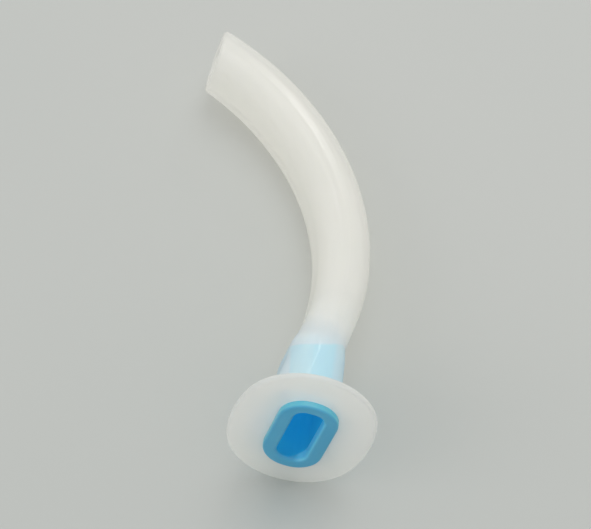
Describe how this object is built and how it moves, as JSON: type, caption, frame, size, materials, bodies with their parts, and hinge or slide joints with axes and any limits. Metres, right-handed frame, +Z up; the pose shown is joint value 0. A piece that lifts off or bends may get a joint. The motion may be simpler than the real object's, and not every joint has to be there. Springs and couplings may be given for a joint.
{
  "type": "oropharyngeal airway",
  "caption": "Curved hollow plastic airway with an oval flange and a coloured bite block, lying on its side.",
  "frame": {"origin": "on the surface it lies on, under the middle of the airway's extents in X and Y", "axes": "+Z up from the surface, +Y from the flange towards the bend and the tip, +X towards the side the bend bulges to"},
  "size_m": [0.0566, 0.1178, 0.0414],
  "materials": {
    "clear_polyethylene": "satin",
    "blue_plastic": "satin"
  },
  "bodies": {
    "root": {"airway_body": "clear_polyethylene", "bite_block": "blue_plastic"}
  },
  "joints": []
}
